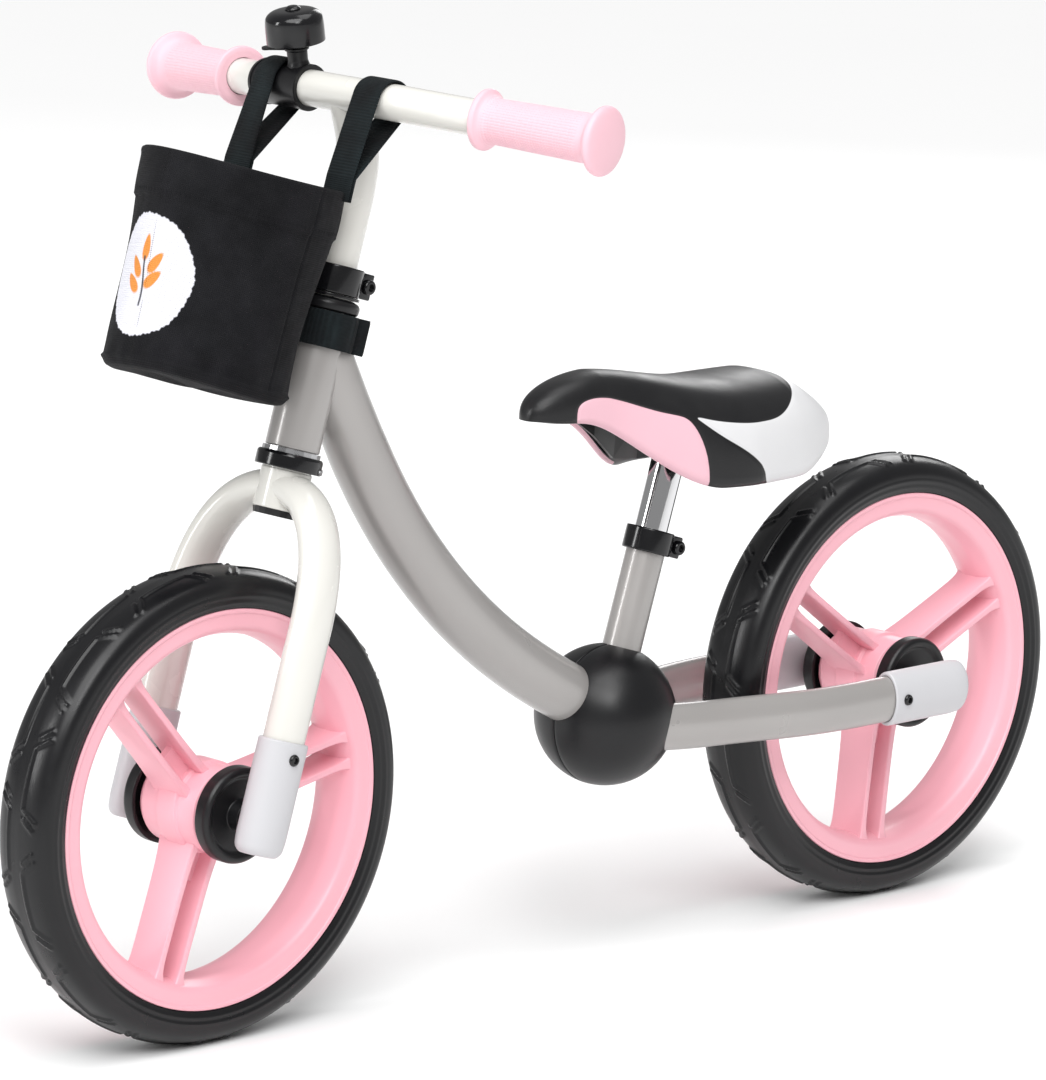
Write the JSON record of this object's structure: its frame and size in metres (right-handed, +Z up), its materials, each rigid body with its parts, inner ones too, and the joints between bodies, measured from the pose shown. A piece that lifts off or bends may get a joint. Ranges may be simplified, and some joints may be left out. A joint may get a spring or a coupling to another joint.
{
  "type": "balance bike",
  "caption": "Small balance bike with curved main tube, fork with swept handlebar, bell and bag, adjustable saddle, and foam-tyred moulded wheels.",
  "frame": {"origin": "on the ground, midway between the wheels", "axes": "+X forward, +Y to the rider's left, +Z up"},
  "size_m": [0.874, 0.3916, 0.6144],
  "materials": {
    "grey_paint": "satin",
    "white_paint": "gloss",
    "pink_plastic": "satin",
    "pink_rubber": "matte",
    "black_plastic": "satin",
    "black_paint": "gloss",
    "tyre_foam": "satin",
    "pale_plastic": "satin",
    "chrome": "polished",
    "steel": "satin",
    "black_fabric": "matte",
    "saddle_cover": "satin"
  },
  "bodies": {
    "frame": {"main_frame": "grey_paint", "rear_frame": "grey_paint", "joint_cover_left": "black_plastic", "joint_cover_right": "black_plastic", "joint_bolt": "steel", "joint_nut": "steel", "upper_head_cup": "black_plastic", "upper_head_bearing": "steel", "seat_clamp": "black_paint", "seat_clamp_bolt": "steel", "stay_end_cover_left": "pale_plastic", "stay_end_cover_right": "pale_plastic", "stay_cover_screw_left": "black_paint", "stay_cover_screw_right": "black_paint", "rear_axle": "steel", "rear_axle_nut_left": "steel", "rear_axle_nut_right": "steel"},
    "fork": {"fork": "white_paint", "fork_end_cover_left": "pale_plastic", "fork_end_cover_right": "pale_plastic", "fork_cover_screw_left": "black_paint", "fork_cover_screw_right": "black_paint", "steerer_plug": "black_plastic", "fork_collar": "black_paint", "fork_collar_bolt": "steel", "lower_head_bearing": "steel", "headset_cap": "black_plastic", "headset_spacer": "black_paint", "stem_clamp": "black_paint", "stem_clamp_bolt": "steel", "bag_band": "black_fabric", "front_axle": "steel", "front_axle_nut_left": "steel", "front_axle_nut_right": "steel"},
    "handlebar": {"handlebar": "white_paint", "grip_left": "pink_rubber", "grip_right": "pink_rubber", "bell_base": "black_plastic", "bell_dome": "black_paint", "bell_screw": "black_paint", "bag": "black_fabric", "bag_strap_left": "black_fabric", "bag_strap_right": "black_fabric"},
    "bell_lever": {"bell_lever": "black_plastic"},
    "front_wheel": {"front_tyre": "tyre_foam", "front_rim": "pink_plastic", "front_bearing_left": "steel", "front_bearing_right": "steel", "front_hub_cap_left": "black_plastic", "front_hub_cap_right": "black_plastic"},
    "rear_wheel": {"rear_tyre": "tyre_foam", "rear_rim": "pink_plastic", "rear_bearing_left": "steel", "rear_bearing_right": "steel", "rear_hub_cap_left": "black_plastic", "rear_hub_cap_right": "black_plastic"},
    "seat": {"seat_post": "chrome", "saddle_base": "black_plastic", "saddle_pad": "saddle_cover", "saddle_bolt": "steel"}
  },
  "joints": [
    {"name": "steering", "type": "hinge", "parent": "frame", "child": "fork", "pos_m": [0.28625, 0, 0.14329], "axis": [-0.2857, 0, 0.9583], "range_deg": [-60, 60]},
    {"name": "handlebar_height", "type": "slide", "parent": "fork", "child": "handlebar", "axis": [-0.2857, 0, 0.9583], "range_m": [-0.01, 0.05]},
    {"name": "bell_lever_pivot", "type": "hinge", "parent": "handlebar", "child": "bell_lever", "pos_m": [0.18599, -0.04, 0.56502], "axis": [0.1564, 0, 0.9877], "range_deg": [0, 35], "stiffness_Nm_per_rad": 0.02},
    {"name": "front_wheel_spin", "type": "hinge", "parent": "fork", "child": "front_wheel", "pos_m": [0.292, 0, 0.145], "axis": [0, 1, 0], "continuous": true},
    {"name": "rear_wheel_spin", "type": "hinge", "parent": "frame", "child": "rear_wheel", "pos_m": [-0.292, 0, 0.145], "axis": [0, 1, 0], "continuous": true},
    {"name": "seat_height", "type": "slide", "parent": "frame", "child": "seat", "axis": [-0.3024, 0, 0.9532], "range_m": [-0.01, 0.05]}
  ]
}
